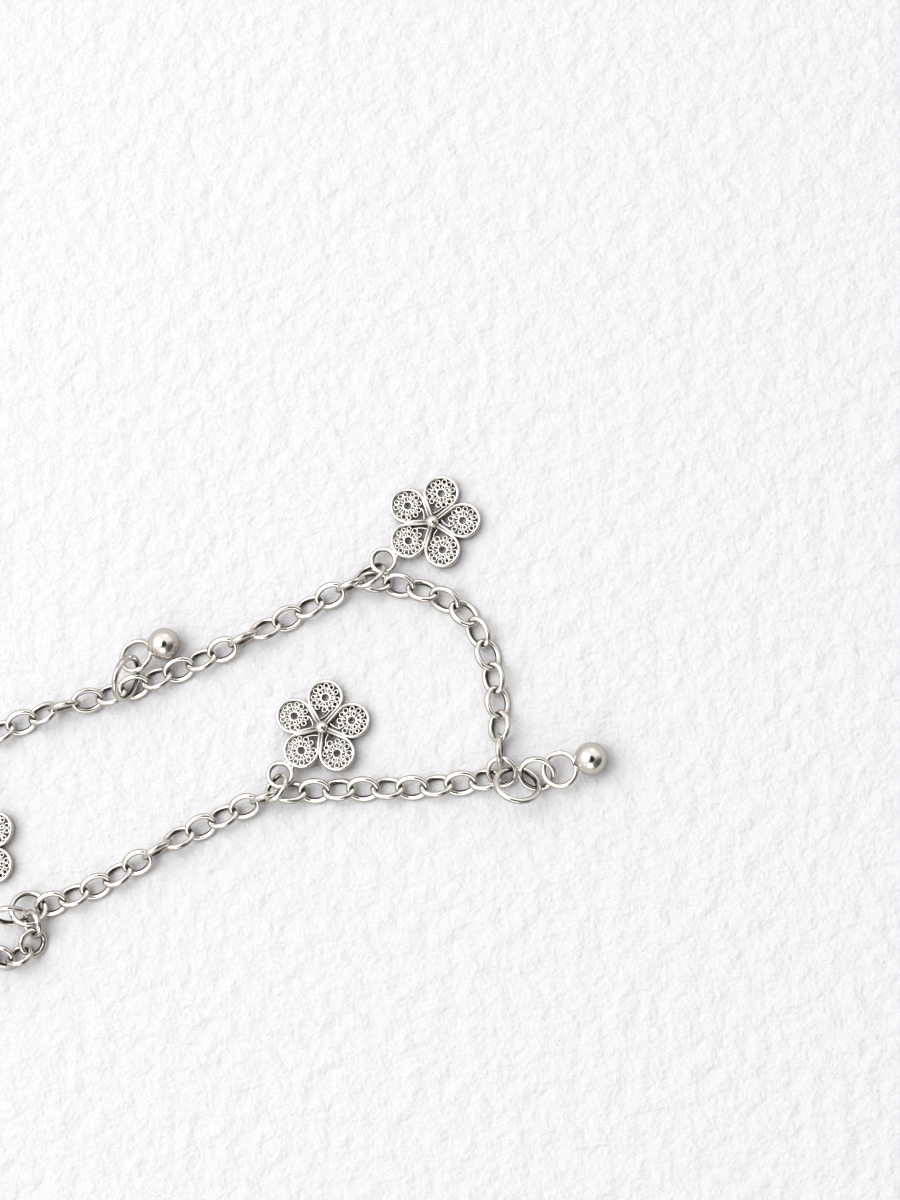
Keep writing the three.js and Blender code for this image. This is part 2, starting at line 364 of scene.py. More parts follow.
# %% [markdown]
# ## Jump rings
#
# A jump ring is a ring of wire that is opened, threaded and closed again. Charms hang
# from the chain by them. The corner of the bracelet has one small ring between the two
# halves of the chain, and a large and a small one that lead to its ball. The other ball
# hangs on a large one and each flower on an oval one, and two lie where the extender
# begins. They are the same shape as a link, so the same tool makes them, each at its
# own size, with more steps as they are seen singly.

# %% Lay the jump rings
WIRE = 0.56
HEAVY_WIRE = 0.6
CHARM_WIRE = 0.68
FINE_BEND = {"steps": 14, "sides": 5}

# Each ring's node, its centre, its heading, rise and roll, and its length, width and
# wire.
JUMP_RINGS = (
    ("corner_ring", (32.08, -6.23, 1.07), (-64, -17.3, 12.8), (3.6, 3.6, WIRE)),
    (
        "charm_ring_corner_large",
        (33.94, -7.78, 1.85), (-33.2, 5.5, -39.5), (5.4, 5.4, CHARM_WIRE),
    ),
    (
        "charm_ring_corner_small",
        (36.0, -6.61, 1.41), (22.9, 13.1, 34.2), (4.3, 4.3, HEAVY_WIRE),
    ),
    (
        "charm_ring_upper",
        (-9.89, 4.88, 2.92), (59.8, -44.6, 71.4), (5.5, 5.5, CHARM_WIRE),
    ),
    ("flower_link_upper", (17.33, 15.92, 1.62), (39.7, -9.8, -45.8), (4.3, 3.9, WIRE)),
    ("flower_link_lower", (7.08, -7.62, 1.87), (62, -7, -39), (3.7, 3.1, WIRE)),
    ("flower_link_end", (-29.96, -4.66, 1.45), (-94, 0, 90), (3.95, 2.9, WIRE)),
    (
        "extender_ring",
        (-21.06, -20.53, 1.35), (-76.7, 17, -15.4), (4.4, 4.4, HEAVY_WIRE),
    ),
    (
        "extender_side_ring",
        (-22.66, -21.38, 2.73), (9.1, 5.6, 66.8), (4.1, 4.1, HEAVY_WIRE),
    ),
)
jump_rings = {}
for node, centre, (heading, rise, roll), size in JUMP_RINGS:
    ring = wire_ring(node + "_wire", *size, **FINE_BEND)
    ring.data.transform(placement(centre, direction(heading, rise), roll))
    jump_rings[node] = ring
print("jump rings", len(jump_rings))

# %% [markdown]
# ## A filigree flower: the petal's rim
#
# Filigree is made of two kinds of wire. A strong flat wire, rolled and set on edge,
# makes the outline of each petal. Much finer wire fills it. An outline could be drawn
# point by point, but a petal is a circle with two tangents, so its rim starts as a
# circle. The points on the side of the flower's centre are merged into one, and that
# one is pulled towards the centre, which leaves a round end and two straight sides. The
# outline is then turned into a flat curve, and given a height and a rounded thickness:
# a flat wire's edges are always a little round.
#
# The rim stays bright on top. Below that its film and painted shade grow with depth,
# strongly on the side of the filling and where two petals stand close, and weakly on
# the open outside. Painted shade darkens the metal round the flower's centre as well.

# %% Sizes of a petal and its rim
PETALS = 5
PETAL_REACH = 3.4
PETAL_RADIUS = 2.02
RIM_WALL = 0.34
RIM_HEIGHT = 1.05
RIM_RADIUS = PETAL_RADIUS - RIM_WALL / 2
RIM_OPENING = math.acos(PETAL_RADIUS / PETAL_REACH)
RIM_TIP = PETAL_REACH - RIM_RADIUS / math.cos(RIM_OPENING)
RIM_STRAIGHT = PETAL_REACH - RIM_RADIUS * math.cos(RIM_OPENING)
print("the rim's middle line runs from", RIM_TIP, "to", PETAL_REACH + RIM_RADIUS)

# %% Darken the rim
# Film and painted shade grow with depth below the rim's top, and painted shade darkens
# the metal round the flower's centre.
RIM_BRIGHT_TOP = 0.06
RIM_FILM_INSIDE = 1.8
RIM_FILM_OUTSIDE = 0.35
RIM_NEIGHBOUR_REACH = PETAL_REACH - 0.6
MIDDLE_FILM = 3.0
MIDDLE_RADIUS = 1.3


def inside_petal(at):
    """Whether a point lies within the middle line of the first petal's rim."""
    in_round = math.hypot(at.x - PETAL_REACH, at.y) < RIM_RADIUS
    across = abs(at.y) * math.sin(RIM_OPENING)
    in_wedge = across < (at.x - RIM_TIP) * math.cos(RIM_OPENING)
    return in_round or (in_wedge and at.x < RIM_STRAIGHT)


def rim_film(at):
    """The film and painted shade on the rim, by how deep and how sheltered a point is,
    and painted shade near the flower's centre.
    """
    depth = max(0.0, RIM_HEIGHT - at.z - RIM_BRIGHT_TOP)
    sheltered = inside_petal(at) or at.x < RIM_NEIGHBOUR_REACH
    beside = RIM_FILM_INSIDE if sheltered else RIM_FILM_OUTSIDE
    near_middle = MIDDLE_FILM * (MIDDLE_RADIUS - math.hypot(at.x, at.y))
    return depth * beside + max(0.0, near_middle)


# %% Model the rim of one petal
OUTLINE_POINTS = 56
RIM_EDGE_STEPS = 3
FLAT_WIRE_EDGE = math.radians(50)


def petal_rim():
    """The flat wire round one petal, standing on the table."""
    deselect()
    bpy.ops.mesh.primitive_circle_add(vertices=OUTLINE_POINTS, radius=RIM_RADIUS * MM)
    rim = bpy.context.object
    rim.location.x = PETAL_REACH * MM
    settle(rim)
    for vertex in rim.data.vertices:
        vertex.select = vertex.co.x < RIM_STRAIGHT * MM
    for edge in rim.data.edges:
        edge.select = all(rim.data.vertices[i].select for i in edge.vertices)
    bpy.ops.object.mode_set(mode="EDIT")
    bpy.ops.mesh.select_mode(type="VERT")
    bpy.ops.mesh.merge(type="CENTER")
    bpy.ops.object.mode_set(mode="OBJECT")
    inmost = min(rim.data.vertices, key=lambda vertex: vertex.co.x)
    inmost.co = (RIM_TIP * MM, 0, 0)
    bpy.ops.object.convert(target="CURVE")
    rim = bpy.context.object
    rim.data.dimensions = "2D"
    rim.data.fill_mode = "NONE"
    rim.data.extrude = (RIM_HEIGHT - RIM_WALL) / 2 * MM
    rim.data.bevel_depth = RIM_WALL / 2 * MM
    rim.data.bevel_resolution = RIM_EDGE_STEPS
    bpy.ops.object.convert(target="MESH")
    rim = bpy.context.object
    rim.data.transform(Matrix.Translation((0, 0, RIM_HEIGHT / 2 * MM)))
    choose(rim)
    bpy.ops.object.shade_smooth_by_angle(angle=FLAT_WIRE_EDGE)
    tarnish(rim, rim_film)
    return rim


rim = petal_rim()
print("rim points", len(rim.data.vertices))

# %% [markdown]
# ## The filling of a petal
#
# The filling is fine flat wire set on edge, and a pair of fine round wires twisted
# together. An eyelet of flat wire stands in the middle. Small loops stand round it in
# two rows, each with a tail that sweeps inward: the inner row leans on the eyelet, the
# outer row on the rim, and the twisted pair runs between them. A last tail leads into
# the petal's narrow end. Each loop is wound by hand, so no two have the same size,
# place or sweep. Every gap goes through from front to back and is deep for its width,
# which is why filigree looks bright on top and dark in its gaps. Below their bright
# tops the wires are also darkened nearly to black by their film and by painted shade. A
# bump on a plate would show the lines and not the depth, so every wire is modelled.
#
# A flat curve with a height and a small bevel is flat wire on edge. A curve in space
# with a bevel alone is round wire. The twisted pair is two round ones that go about one
# another.

# %% Draw fine wires


def draw_wires(name, paths, wire, sides, height=0.0):
    """Wires along lists of points. With a height they are flat and stand on edge."""
    curve = bpy.data.curves.new(name, "CURVE")
    curve.dimensions = "2D" if height else "3D"
    curve.fill_mode = "NONE" if height else "FULL"
    curve.extrude = max(0.0, height - wire) / 2 * MM
    curve.bevel_depth = wire / 2 * MM
    curve.bevel_resolution = sides
    curve.use_fill_caps = not height
    for path in paths:
        spline = curve.splines.new("POLY")
        spline.points.add(len(path) - 1)
        for point, at in zip(spline.points, path):
            point.co = (at[0] * MM, at[1] * MM, 0 if height else at[2] * MM, 1)
    wires = bpy.data.objects.new(name, curve)
    bpy.context.scene.collection.objects.link(wires)
    choose(wires)
    bpy.ops.object.convert(target="MESH")
    bpy.ops.object.shade_smooth_by_angle(angle=FLAT_WIRE_EDGE)
    return bpy.context.object


# %% Wind the eyelet and the twisted pair
EYELET = 0.48
EYELET_STEPS = 26
TWIST_REACH = 1.04
TWIST_STEPS = 90
TWIST_PITCH = 0.46
TWIST_WIRE = 0.15
TWIST_HEIGHT = 0.78


def on_petal(radius, angle, height=0.0):
    """A point of a petal's filling, by its distance and angle from the middle."""
    return Vector(
        (PETAL_REACH + radius * math.cos(angle), radius * math.sin(angle), height)
    )


def winding(start, radius, steps, height=0.0):
    """One turn of wire about the eyelet's middle."""
    shares = [step / steps for step in range(steps + 1)]
    return [on_petal(radius, start + 2 * math.pi * share, height) for share in shares]


def twisted_pair(path):
    """Two paths that wind round one path."""
    pair = ([], [])
    travelled = 0.0
    for i, at in enumerate(path):
        ahead = path[min(i + 1, len(path) - 1)] - path[max(i - 1, 0)]
        side = Vector((-ahead.y, ahead.x, 0)).normalized()
        if i:
            travelled += (at - path[i - 1]).length
        phase = 2 * math.pi * travelled / TWIST_PITCH
        offset = side * math.cos(phase) + Vector((0, 0, math.sin(phase)))
        pair[0].append(at + offset * TWIST_WIRE / 2)
        pair[1].append(at - offset * TWIST_WIRE / 2)
    return pair


print("twists in the pair", 2 * math.pi * TWIST_REACH / TWIST_PITCH)

# %% Wind the rows of loops
LOOP_STEPS = 12
LOOP_HALF_TURNS = 1.85
LOOP_SWEEP = 0.4
INNER_ROW = {"count": 8, "reach": 0.78, "radius": 0.2, "inward": 0.24}
OUTER_ROW = {"count": 12, "reach": 1.36, "radius": 0.26, "inward": 0.34}

# How far the hand strays: in a loop's angle and reach by an amount, and in its size and
# sweep by a factor.
STRAY_ANGLE = (-0.08, 0.08)
STRAY_REACH = (-0.04, 0.03)
STRAY_SIZE = (0.85, 1.12)
STRAY_SWEEP = (0.6, 1.5)
HAND_SEED = 5
by_hand = random.Random(HAND_SEED)


def loops(count, reach, radius, inward, start):
    """Small loops of flat wire in a ring, each with a tail that sweeps inward."""
    paths = []
    for i in range(count):
        angle = start + 2 * math.pi * i / count + by_hand.uniform(*STRAY_ANGLE)
        middle = on_petal(reach + by_hand.uniform(*STRAY_REACH), angle)
        wound = radius * by_hand.uniform(*STRAY_SIZE)
        sweep = LOOP_SWEEP * by_hand.uniform(*STRAY_SWEEP)
        path = []
        for step in range(LOOP_STEPS):
            half_turns = LOOP_HALF_TURNS * math.pi * step / (LOOP_STEPS - 1)
            turned = angle + math.pi + half_turns
            out = Vector((math.cos(turned), math.sin(turned), 0))
            path.append(middle + wound * out)
        path.append(on_petal(reach - inward, angle - sweep))
        paths.append(path)
    return paths


print("loops in a petal", INNER_ROW["count"] + OUTER_ROW["count"])

# %% Fill a petal
FLAT_WIRE = 0.14
FILL_BOTTOM = 0.14
FILL_TOP = 0.80
OUTER_ROW_AHEAD = 0.3
TAIL_REACH = PETAL_RADIUS - RIM_WALL - 0.1
TAIL_LENGTH = 0.85
TAIL_ANGLE = 0.4
TAIL_SWEEP = 0.5
TAIL_STEPS = 7
FILL_BRIGHT_TOP = 0.08
# Film and painted shade in the filling: weaker in the eyelet, and nearly black deep in
# the gaps.
FILM_IN_EYELET = 0.6
FILM_IN_GAPS = 8


def filling_film(at):
    """The film and painted shade on the filling, which soon grow black below its bright
    top.
    """
    from_eyelet = math.hypot(at.x - PETAL_REACH, at.y)
    film = FILM_IN_EYELET if from_eyelet < EYELET else FILM_IN_GAPS
    return (FILL_TOP - FILL_BRIGHT_TOP - at.z) * film


def petal_filling(start):
    """The filigree of one petal, its windings beginning at an angle."""
    wound = winding(start, TWIST_REACH, TWIST_STEPS, TWIST_HEIGHT)
    eyelet = winding(start, EYELET, EYELET_STEPS)
    inner = loops(**INNER_ROW, start=start)
    outer = loops(**OUTER_ROW, start=start + OUTER_ROW_AHEAD)
    tail = [
        on_petal(
            TAIL_REACH + TAIL_LENGTH * step / TAIL_STEPS,
            math.pi + TAIL_ANGLE - TAIL_SWEEP * step / TAIL_STEPS,
        )
        for step in range(TAIL_STEPS + 1)
    ]
    flat_wires = [eyelet, tail, *inner, *outer]
    tall = FILL_TOP - FILL_BOTTOM
    flat = draw_wires("flat", flat_wires, FLAT_WIRE, sides=1, height=tall)
    flat.data.transform(Matrix.Translation((0, 0, (FILL_BOTTOM + FILL_TOP) / 2 * MM)))
    twisted = draw_wires("twisted", twisted_pair(wound), TWIST_WIRE, sides=1)
    filling = join([flat, twisted], "filling")
    tarnish(filling, filling_film)
    return filling


# %% [markdown]
# ## The whole flower
#
# Five petals stand round a grain of silver, a small ball melted onto their joint. The
# windings of each petal begin at their own angle, as no two petals are filled alike. A
# round ring is soldered to the tip of one petal, with a bead of solder each side.
#
# The grain starts as a sphere. Its underside is cut away with a bisect, and the open
# edge is drawn down and flared outward, where the melted silver ran onto the wires. A
# plain sphere would look like a stone set on top.

# %% Melt the grain and the beads of solder
GRAIN_DIAMETER = 1.5
GRAIN_HEIGHT = 0.9
GRAIN_CUT = 0.35
GRAIN_FOOT = 0.18
GRAIN_FLARE = 1.3
GRAIN_SMOOTH = math.radians(60)
# Painted shade on the grain: darker from its top down to its foot.
GRAIN_FILM = 1.1
GRAIN_FILM_FADE = 1.3
GRAIN_FILM_HEIGHT = 0.4
SOLDER_DIAMETER = 0.62
SOLDER_SQUASH = (1.0, 0.85, 0.9)
SOLDER_FILM = 0.2


def grain():
    """The grain at the flower's centre, with a flared foot."""
    deselect()
    bpy.ops.mesh.primitive_uv_sphere_add(
        segments=32, ring_count=20, radius=GRAIN_DIAMETER / 2 * MM
    )
    ball = bpy.context.object
    bpy.ops.object.mode_set(mode="EDIT")
    bpy.ops.mesh.select_all(action="SELECT")
    bpy.ops.mesh.bisect(
        plane_co=(0, 0, -GRAIN_CUT * MM), plane_no=(0, 0, 1), clear_inner=True
    )
    down = {"value": (0, 0, -GRAIN_FOOT * MM)}
    bpy.ops.mesh.extrude_region_move(TRANSFORM_OT_translate=down)
    bpy.ops.transform.resize(value=(GRAIN_FLARE, GRAIN_FLARE, 1))
    bpy.ops.mesh.edge_face_add()
    bpy.ops.object.mode_set(mode="OBJECT")
    ball.data.transform(Matrix.Translation((0, 0, GRAIN_HEIGHT * MM)))
    bpy.ops.object.shade_smooth_by_angle(angle=GRAIN_SMOOTH)
    # Painted shade, darker towards the grain's foot.
    tarnish(ball, lambda at: GRAIN_FILM - GRAIN_FILM_FADE * (at.z - GRAIN_FILM_HEIGHT))
    return ball


def solder_bead(at):
    """A small squashed bead of solder."""
    deselect()
    bpy.ops.mesh.primitive_uv_sphere_add(
        segments=16, ring_count=10, radius=SOLDER_DIAMETER / 2 * MM
    )
    blob = bpy.context.object
    bpy.ops.object.mode_set(mode="EDIT")
    bpy.ops.mesh.select_all(action="SELECT")
    bpy.ops.transform.resize(value=SOLDER_SQUASH)
    bpy.ops.object.mode_set(mode="OBJECT")
    blob.data.transform(Matrix.Translation(Vector(at) * MM))
    bpy.ops.object.shade_smooth()
    tarnish(blob, lambda at: SOLDER_FILM)
    return blob


# %% Model one flower
FLOWER_RING_OUTER = 3.2
FLOWER_RING_REACH = 6.95
SOLDER_SPREAD = 0.55
FILLING_TURN = 1.3


def flower_pattern():
    """A whole flower about the origin, its ring towards +X."""
    parts = []
    for i in range(PETALS):
        turn = Matrix.Rotation(2 * math.pi * i / PETALS, 4, "Z")
        filling = petal_filling(FILLING_TURN * i)
        parts += [copy_of(rim, turn), copy_of(filling, turn)]
        discard(filling)
    middle = RIM_HEIGHT / 2
    ring = wire_ring("ring", FLOWER_RING_OUTER, FLOWER_RING_OUTER, WIRE, steps=12)
    ring.data.transform(Matrix.Translation((FLOWER_RING_REACH * MM, 0, middle * MM)))
    solder_at = PETAL_REACH + PETAL_RADIUS
    beads = [solder_bead((solder_at, side * SOLDER_SPREAD, middle)) for side in (-1, 1)]
    return join([*parts, grain(), ring, *beads], "flower_pattern")


flower = flower_pattern()
discard(rim)
flower.data.calc_loop_triangles()
print("flower triangles", len(flower.data.loop_triangles))

# %% [markdown]
# ## Lay the flowers
#
# Each flower lies on its far petals, with its ring held a little above the table by the
# ring it hangs from, so it tilts by a few degrees. The tilt follows from the height of
# its ring, and needs no adjusting by eye.

# %% Copy the flower three times
# Each flower's node, the place of its centre, its heading, and the height of its ring.
FLOWERS = (
    ("flower_charm_upper", (24.36, 21.87), 217.5, 1.17),
    ("flower_charm_lower", (12.0, -1.0), 228.8, 1.67),
    ("flower_charm_end", (-27.97, -13.54), 108.0, 1.3),
)
far = PETAL_REACH * math.cos(math.pi / PETALS) + PETAL_RADIUS
flowers = {}
for node, (x, y), heading, lift in FLOWERS:
    rise = math.degrees(math.asin((lift - RIM_HEIGHT / 2) / (FLOWER_RING_REACH + far)))
    centre = (x, y, far * math.sin(math.radians(rise)))
    laid = copy_of(flower, placement(centre, direction(heading, rise), 0))
    laid.name = node + "_filigree"
    flowers[node] = laid
discard(flower)
print("flowers", sorted(flowers))

# %% [markdown]
# ## The balls
#
# Each ball is two pressed half-shells of thin silver, soldered together and buffed
# until the seam is gone, with a ring soldered to it. The ball starts as a sphere,
# turned so that a pole faces the ring. The cap at that pole is drawn out twice,
# narrower each time, into a small collar, where the solder runs up to the wire. The
# ball is darker at its collar, and painted shade darkens its underside, full at the
# bottom and thinning out towards the top.

# %% Model one ball
BALL_DIAMETER = 3.6
BALL_RING_OUTER = 4.2
BALL_RING_REACH = 3.6
COLLAR_CAP = 0.985
COLLAR_STEPS = ((0.06, 0.8), (0.1, 0.75))
COLLAR_FILM = 4.0
COLLAR_FILM_REACH = 1.62
# Painted shade on the ball's underside, thinning out towards the top.
BALL_FILM = 0.65
BALL_FILM_FADE = 2.3


def ball_film(at):
    """The film at a ball's collar, and painted shade on its underside."""
    collar = max(0.0, COLLAR_FILM * (at.x - COLLAR_FILM_REACH))
    return collar + max(0.0, BALL_FILM - BALL_FILM_FADE * at.z / BALL_DIAMETER)


def ball_pattern():
    """A ball about the origin with its ring towards +X."""
    deselect()
    bpy.ops.mesh.primitive_uv_sphere_add(
        segments=64, ring_count=32, radius=BALL_DIAMETER / 2 * MM
    )
    ball = bpy.context.object
    for face in ball.data.polygons:
        face.select = face.center.z > COLLAR_CAP * BALL_DIAMETER / 2 * MM
    bpy.ops.object.mode_set(mode="EDIT")
    bpy.ops.mesh.select_mode(type="FACE")
    for out, narrower in COLLAR_STEPS:
        drawn = {"value": (0, 0, out * MM)}
        bpy.ops.mesh.extrude_region_move(TRANSFORM_OT_translate=drawn)
        bpy.ops.transform.resize(value=(narrower, narrower, 1))
    bpy.ops.object.mode_set(mode="OBJECT")
    ball.data.transform(Matrix.Rotation(math.pi / 2, 4, "Y"))
    bpy.ops.object.shade_smooth()
    tarnish(ball, ball_film)
    ring = wire_ring("ring", BALL_RING_OUTER, BALL_RING_OUTER, WIRE, **FINE_BEND)
    ring.data.transform(Matrix.Translation((BALL_RING_REACH * MM, 0, 0)))
    return join([ball, ring], "ball_pattern")


# %% Lay the balls
# Each ball's node, its centre, and its heading, rise and roll.
BALLS = (
    ("ball_charm_corner", (41.98, -5.1, 1.8), (197.6, -3.7, -1.1)),
    ("ball_charm_upper", (-5.97, 8.83, 1.83), (199.4, -8.1, 19.5)),
)
ball = ball_pattern()
balls = {}
for node, centre, (heading, rise, roll) in BALLS:
    laid = copy_of(ball, placement(centre, direction(heading, rise), roll))
    laid.name = node + "_silver"
    balls[node] = laid
discard(ball)
print("balls", sorted(balls))

# %% [markdown]
# ## The clasp
#
# A spring ring clasp is a tube bent into a ring, with a thumb tab on a bolt that slides
# inside it. A thin eye takes the last link of the chain. The tube and the eye are rings
# of wire, so the same tool bends them. Two short sleeves mark where the bolt runs in,
# one each side of the tab. The tab is a small block, narrowed at its outer end, with
# every edge rounded, as a thumb would find it.

# %% Sizes of the clasp
CLASP_OUTER = 6.0
CLASP_TUBE = 1.15
CLASP_EYE_OUTER = 2.5
CLASP_EYE_WIRE = 0.6
CLASP_PLACE = placement((-30.85, -24.22, 1.4), direction(-4, 3.3), 0)
HANDLED_FILM = 0.3
print("clasp at", CLASP_PLACE.translation / MM)

# %% Shape the thumb tab
CLASP_TAB = (0.8, 1.0, 0.7)
CLASP_TAB_SINK = 0.2
CLASP_TAB_NARROWER = 0.8
CLASP_TAB_BEVEL = 0.12
CLASP_TAB_SMOOTH = math.radians(40)
A_HAIR = 0.01


def clasp_tab():
    """The thumb tab, a block with round edges and a narrow outer end."""
    deselect()
    bpy.ops.mesh.primitive_cube_add(size=MM)
    tab = bpy.context.object
    tab.scale = CLASP_TAB
    tab.location.y = ((CLASP_OUTER + CLASP_TAB[1]) / 2 - CLASP_TAB_SINK) * MM
    settle(tab)
    end = max(vertex.co.y for vertex in tab.data.vertices)
    for face in tab.data.polygons:
        face.select = face.center.y > end - A_HAIR * MM
    bpy.ops.object.mode_set(mode="EDIT")
    bpy.ops.mesh.select_mode(type="FACE")
    bpy.ops.transform.resize(value=(CLASP_TAB_NARROWER, 1, CLASP_TAB_NARROWER))
    bpy.ops.mesh.select_all(action="SELECT")
    bpy.ops.mesh.bevel(offset=CLASP_TAB_BEVEL * MM, segments=3)
    bpy.ops.object.mode_set(mode="OBJECT")
    bpy.ops.object.shade_smooth_by_angle(angle=CLASP_TAB_SMOOTH)
    tarnish(tab, lambda at: HANDLED_FILM)
    return tab


# %% Join the clasp
SLEEVES = ((62, 74), (106, 118))
SLEEVE_FULLER = 0.1
SLEEVE_STEPS = 8


def sleeve(angle_from, angle_to):
    """A thin sleeve round part of the tube."""
    radius = (CLASP_OUTER - CLASP_TUBE) / 2
    path = []
    for step in range(SLEEVE_STEPS + 1):
        turned = angle_from + (angle_to - angle_from) * step / SLEEVE_STEPS
        angle = math.radians(turned)
        path.append((radius * math.cos(angle), radius * math.sin(angle), 0))
    band = draw_wires("sleeve", [path], CLASP_TUBE + SLEEVE_FULLER, sides=5)
    tarnish(band, lambda at: HANDLED_FILM)
    return band


tube = wire_ring("tube", CLASP_OUTER, CLASP_OUTER, CLASP_TUBE, steps=16, sides=6)
eye = wire_ring("eye", CLASP_EYE_OUTER, CLASP_EYE_OUTER, CLASP_EYE_WIRE, steps=10)
eye_reach = (CLASP_OUTER + CLASP_EYE_OUTER) / 2 - CLASP_EYE_WIRE / 2
eye.data.transform(Matrix.Translation((-eye_reach * MM, 0, 0)))
fittings = [clasp_tab(), *(sleeve(*span) for span in SLEEVES)]
clasp = join([tube, eye, *fittings], "spring_ring")
clasp.data.transform(CLASP_PLACE)
print("clasp points", len(clasp.data.vertices))

# %% [markdown]
# ## Shader maths
#
# A finish is a short recipe: a base colour, a roughness that varies, and a fine relief.
# Its numbers are easier to read as an expression than as a row of nodes, so a small
# class holds a node's output and turns the signs of Python's arithmetic into Math
# nodes. A second class is a tree of nodes. It adds every other node by its type, its
# settings and its inputs, and serves the materials and the room alike.

# %% A number that varies


class Field:
    """A number that varies over a surface, or over the room."""

    def __init__(self, recipe, socket):
        self.recipe = recipe
        self.socket = socket

    def combine(self, operation, first, second):
        """A Math node on two numbers or fields."""
        settings = {"operation": operation}
        node = self.recipe.add("ShaderNodeMath", settings, {0: first, 1: second})
        return Field(self.recipe, node.outputs[0])

    def __add__(self, other):
        return self.combine("ADD", self, other)

    def __radd__(self, other):
        return self.combine("ADD", other, self)

    def __sub__(self, other):
        return self.combine("SUBTRACT", self, other)

    def __rsub__(self, other):
        return self.combine("SUBTRACT", other, self)

    def __mul__(self, other):
        return self.combine("MULTIPLY", self, other)

    def __rmul__(self, other):
        return self.combine("MULTIPLY", other, self)


# %% A tree of nodes


class Recipe:
    """A tree of shader nodes, built node by node."""

    def __init__(self, tree):
        self.nodes = tree.nodes
        self.links = tree.links

    def add(self, kind, settings, inputs):
        """A node of a type, with its settings first and then its inputs."""
        node = self.nodes.new(kind)
        for key, value in settings.items():
            setattr(node, key, value)
        for key, value in inputs.items():
            self.feed(node.inputs[key], value)
        return node

    def feed(self, socket, value):
        """A field, a link or a plain value into a socket."""
        if isinstance(value, Field):
            value = value.socket
        if isinstance(value, bpy.types.NodeSocket):
            self.links.new(value, socket)
        else:
            socket.default_value = value

    def blend(self, amount, first, second):
        """A colour between two: inputs 6 and 7 of a Mix node, and its output 2."""
        inputs = {0: amount, 6: first, 7: second}
        return self.add("ShaderNodeMix", {"data_type": "RGBA"}, inputs).outputs[2]


# %% A finish
NOISE_ROUGHNESS = 0.55
NOISE_MIDDLE = 0.5
HAIRLINE_DETAIL = 2.0
HAIRLINE_TURN = (0.4, 0.3, 0.7)


class Finish(Recipe):
    """A procedural material."""

    def __init__(self, name):
        self.material = bpy.data.materials.new(name)
        self.material.use_nodes = True
        super().__init__(self.material.node_tree)
        self.shader = self.nodes["Principled BSDF"]
        self.place = self.add("ShaderNodeTexCoord", {}, {}).outputs["Object"]

    def noise(self, size, detail=3.0):
        """Cloudy noise with features of about a size."""
        inputs = {"Vector": self.place, "Scale": 1 / (size * MM), "Detail": detail}
        inputs["Roughness"] = NOISE_ROUGHNESS
        return Field(self, self.add("ShaderNodeTexNoise", {}, inputs).outputs[0])

    def scratches(self, size, stretch):
        """Noise drawn out along one way, for the hairlines that polishing leaves."""
        lay = {"Vector": self.place, "Scale": stretch, "Rotation": HAIRLINE_TURN}
        laid = self.add("ShaderNodeMapping", {}, lay).outputs[0]
        inputs = {"Vector": laid, "Scale": 1 / (size * MM), "Detail": HAIRLINE_DETAIL}
        return Field(self, self.add("ShaderNodeTexNoise", {}, inputs).outputs[0])

    def stored(self, name):
        """A number stored on the points of the mesh."""
        node = self.add("ShaderNodeAttribute", {"attribute_name": name}, {})
        return Field(self, node.outputs["Fac"])

    def relief(self, height, depth, strength=1.0):
        """A bump of a height field, with its depth."""
        inputs = {"Strength": strength, "Distance": depth * MM, "Height": height}
        bump = self.add("ShaderNodeBump", {}, inputs).outputs[0]
        self.feed(self.shader.inputs["Normal"], bump)


# %% [markdown]
# ## Polished silver
#
# Sterling silver is a bright, slightly warm white metal. Polishing leaves hairlines
# that can be seen only where they spread a highlight, so they go into the relief, and
# fine noise goes into the roughness, and neither goes into the colour. Tarnish is a
# thin brown-grey film. It stays on the inner sides of rings and deep in filigree, where
# the cloth doesn't reach. The same dark colour is also painted shade, in recesses,
# where links meet and on undersides, and the pieces already carry how much of both each
# point has. Ambient occlusion could find the recesses instead, but a stored number also
# tells a ring's inner side from its outer side.
#
# The three finishes are the same recipe with other numbers: drawn wire, the pressed and
# buffed shells of the balls, and the filigree, which is pickled bright and then
# darkened in its depths by its film and by painted shade.

# %% The recipe for silver
# The colour of the tarnish film, and of the painted shade in recesses, joints and
# undersides.
TARNISH = (0.075, 0.06, 0.046, 1)
CLOUDS = {"size": 1.4, "detail": 4.0}
MOTTLE = {"size": 0.12, "detail": 2.0}
HAIRLINES = {"size": 0.08, "stretch": (1.0, 0.12, 1.0)}
FILM_LEAST = 0.8
FILM_CLOUDED = 0.4
CLOUDED_GLOSS = 0.10
MOTTLED_GLOSS = 0.10
TARNISHED_GLOSS = 0.14
CLOUDED_RELIEF = 0.6


def polished_silver(name, silver, roughness, film, hairlines):
    """Silver with a tarnish film and painted shade in its recesses, and hairlines from
    polishing.
    """
    finish = Finish(name)
    cloud = finish.noise(**CLOUDS)
    fine = finish.noise(**MOTTLE)
    lines = finish.scratches(**HAIRLINES)
    # The stored number, tarnish and painted shade together, darkens the silver towards
    # that colour.
    stain = finish.stored("tarnish") * (FILM_LEAST + FILM_CLOUDED * cloud) * film
    tone = finish.blend(stain, silver, TARNISH)
    finish.feed(finish.shader.inputs["Base Color"], tone)
    clouded = roughness + CLOUDED_GLOSS * (cloud - NOISE_MIDDLE)
    varied = clouded + MOTTLED_GLOSS * (fine - NOISE_MIDDLE) + TARNISHED_GLOSS * stain
    finish.feed(finish.shader.inputs["Roughness"], varied)
    finish.shader.inputs["Metallic"].default_value = 1.0
    finish.relief(lines + CLOUDED_RELIEF * cloud, depth=hairlines)
    return finish.material


